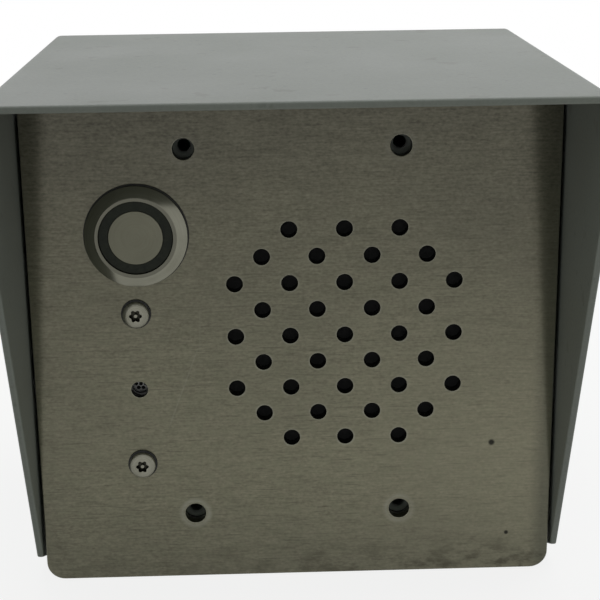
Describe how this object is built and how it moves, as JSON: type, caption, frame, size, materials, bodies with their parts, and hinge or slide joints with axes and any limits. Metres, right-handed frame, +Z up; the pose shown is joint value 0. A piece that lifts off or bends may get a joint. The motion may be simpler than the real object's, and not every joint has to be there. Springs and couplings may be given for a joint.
{
  "type": "network intercom panel",
  "caption": "Wall intercom panel: brushed steel faceplate with push button, microphone and sound holes under a folded grey weather hood.",
  "frame": {"origin": "middle of the footprint, on the base plane that the lower edges stand on", "axes": "+Z up, +X to the right seen from the front, the plate faces -Y and the wall side faces +Y"},
  "size_m": [0.119, 0.117, 0.1144],
  "materials": {
    "paint": "satin grey powder paint",
    "plate_steel": "horizontally brushed stainless steel",
    "button_steel": "turned stainless steel",
    "screw_steel": "satin stainless steel",
    "fastener": "bright zinc plate",
    "lens": "smoked translucent plastic",
    "rubber": "matt black",
    "black_plastic": "moulded black",
    "capsule": "drawn can",
    "mesh": "black acoustic cloth",
    "basket": "black chromate",
    "magnet": "sintered ferrite",
    "cone": "coated paper",
    "spider": "impregnated cloth",
    "copper": "enamelled copper",
    "brass": "plated brass",
    "board": "green solder mask",
    "jack_shell": "tinned shell",
    "green_plastic": "moulded green",
    "blue_plastic": "moulded blue",
    "switch_shell": "tinned shell",
    "white_plastic": "moulded natural nylon",
    "lead_red": "insulated wire",
    "lead_blue": "insulated wire",
    "lead_black": "insulated wire"
  },
  "bodies": {
    "panel": {"hood": "paint", "back_panel": "paint", "top_rail": "paint", "bottom_rail": "paint", "bottom_cover": "paint", "side_screws": "fastener", "side_nuts": "fastener", "cable_bushing": "rubber", "plate_gaskets": "rubber", "faceplate": "plate_steel", "weld_studs": "fastener", "button_bezel": "button_steel", "button_seal": "rubber", "button_washer": "fastener", "button_nut": "brass", "button_spring": "fastener", "button_contact_block": "black_plastic", "button_terminals": "brass", "mic_boot": "rubber", "mic_capsule": "capsule", "mic_spacers": "black_plastic", "mic_clamp": "fastener", "torx_screws": "screw_steel", "screw_washers": "rubber", "mic_nuts": "fastener", "speaker_mesh": "mesh", "speaker_gasket": "rubber", "speaker_basket": "basket", "speaker_top_plate": "fastener", "speaker_magnet": "magnet", "speaker_yoke": "fastener", "speaker_surround": "rubber", "speaker_spider": "spider", "speaker_clamps": "fastener", "speaker_nuts": "fastener", "standoffs": "brass", "main_board": "board", "board_screws": "fastener", "ethernet_jack": "jack_shell", "jack_contacts": "brass", "terminal_block": "green_plastic", "terminal_screws": "fastener", "transformer": "black_plastic", "processor": "black_plastic", "relay": "blue_plastic", "capacitors": "black_plastic", "reset_switch": "switch_shell", "lead_headers": "white_plastic", "button_leads": "lead_red", "mic_leads": "lead_blue", "speaker_leads": "lead_black"},
    "button": {"button_cap": "button_steel", "button_ring": "lens", "button_carrier": "black_plastic"},
    "speaker_diaphragm": {"speaker_cone": "cone", "dust_cap": "cone", "voice_coil": "copper"},
    "reset_knob": {"reset_plunger": "black_plastic"}
  },
  "joints": [
    {"name": "button_press", "type": "slide", "parent": "panel", "child": "button", "axis": [0, 1, 0], "range_m": [0, 0.002], "stiffness_N_per_m": 700, "springref_m": -0.002, "deforming": ["button_spring"]},
    {"name": "cone_travel", "type": "slide", "parent": "panel", "child": "speaker_diaphragm", "axis": [0, 1, 0], "range_m": [-0.0008, 0.0008], "stiffness_N_per_m": 1500, "deforming": ["speaker_surround", "speaker_spider"]},
    {"name": "reset_press", "type": "slide", "parent": "panel", "child": "reset_knob", "axis": [0, -1, 0], "range_m": [0, 0.0003], "stiffness_N_per_m": 3000, "springref_m": -0.0003}
  ]
}
